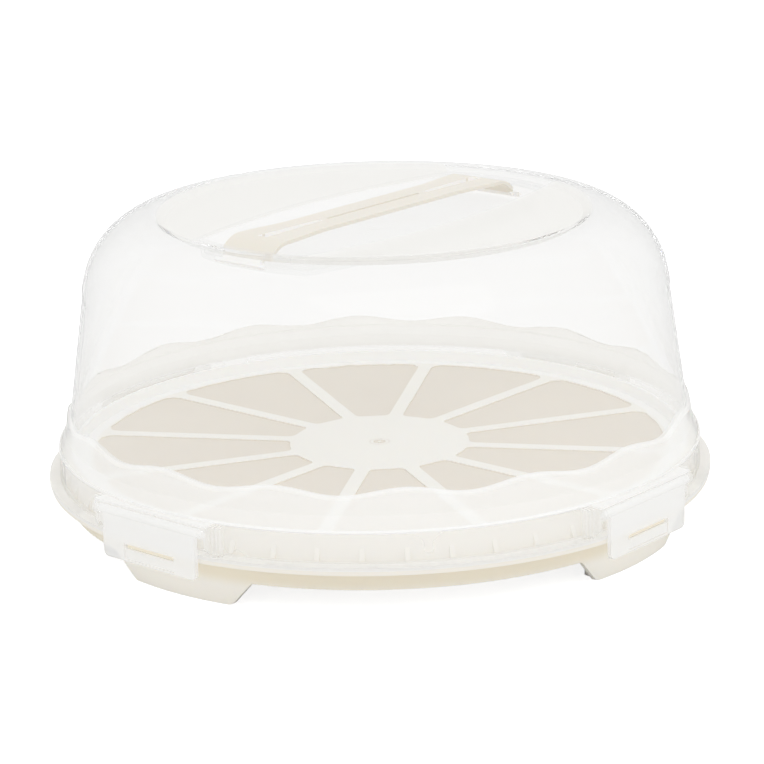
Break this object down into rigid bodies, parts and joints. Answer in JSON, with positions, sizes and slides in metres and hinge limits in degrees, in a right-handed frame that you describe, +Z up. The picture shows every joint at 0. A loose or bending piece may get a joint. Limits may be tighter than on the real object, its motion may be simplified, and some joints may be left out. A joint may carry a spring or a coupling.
{
  "type": "cake carrier",
  "caption": "Round footed cake tray with a clear domed lid that lifts off, a strap handle sunk in the lid's top, and hinged snap latches round its rim.",
  "frame": {"origin": "on the carrier's upright centre line, level with the underside of its feet", "axes": "+Z up; the strap runs along X; the latches face +X, +Y, -X and -Y"},
  "size_m": [0.346, 0.346, 0.1627],
  "materials": {
    "cream_matte": "satin cream polypropylene",
    "clear_plastic": "clear polypropylene, glossy, with a frosted band",
    "cream_satin": "satin cream polypropylene",
    "clear_latch": "translucent polypropylene, glossy"
  },
  "bodies": {
    "base": {"base_tray": "cream_matte"},
    "lid": {"lid_dome": "clear_plastic", "handle": "cream_satin"},
    "latch_east": {"latch_east": "clear_latch"},
    "latch_north": {"latch_north": "clear_latch"},
    "latch_west": {"latch_west": "clear_latch"},
    "latch_south": {"latch_south": "clear_latch"}
  },
  "joints": [
    {"name": "lid_lift", "type": "slide", "parent": "base", "child": "lid", "axis": [0, 0, 1], "range_m": [0, 0.15]},
    {"name": "latch_east_hinge", "type": "hinge", "parent": "lid", "child": "latch_east", "pos_m": [0.1704, 0, 0.0394], "axis": [0, -1, 0], "range_deg": [0, 115]},
    {"name": "latch_north_hinge", "type": "hinge", "parent": "lid", "child": "latch_north", "pos_m": [0, 0.1704, 0.0394], "axis": [1, 0, 0], "range_deg": [0, 115]},
    {"name": "latch_west_hinge", "type": "hinge", "parent": "lid", "child": "latch_west", "pos_m": [-0.1704, 0, 0.0394], "axis": [0, 1, 0], "range_deg": [0, 115]},
    {"name": "latch_south_hinge", "type": "hinge", "parent": "lid", "child": "latch_south", "pos_m": [0, -0.1704, 0.0394], "axis": [-1, 0, 0], "range_deg": [0, 115]}
  ]
}
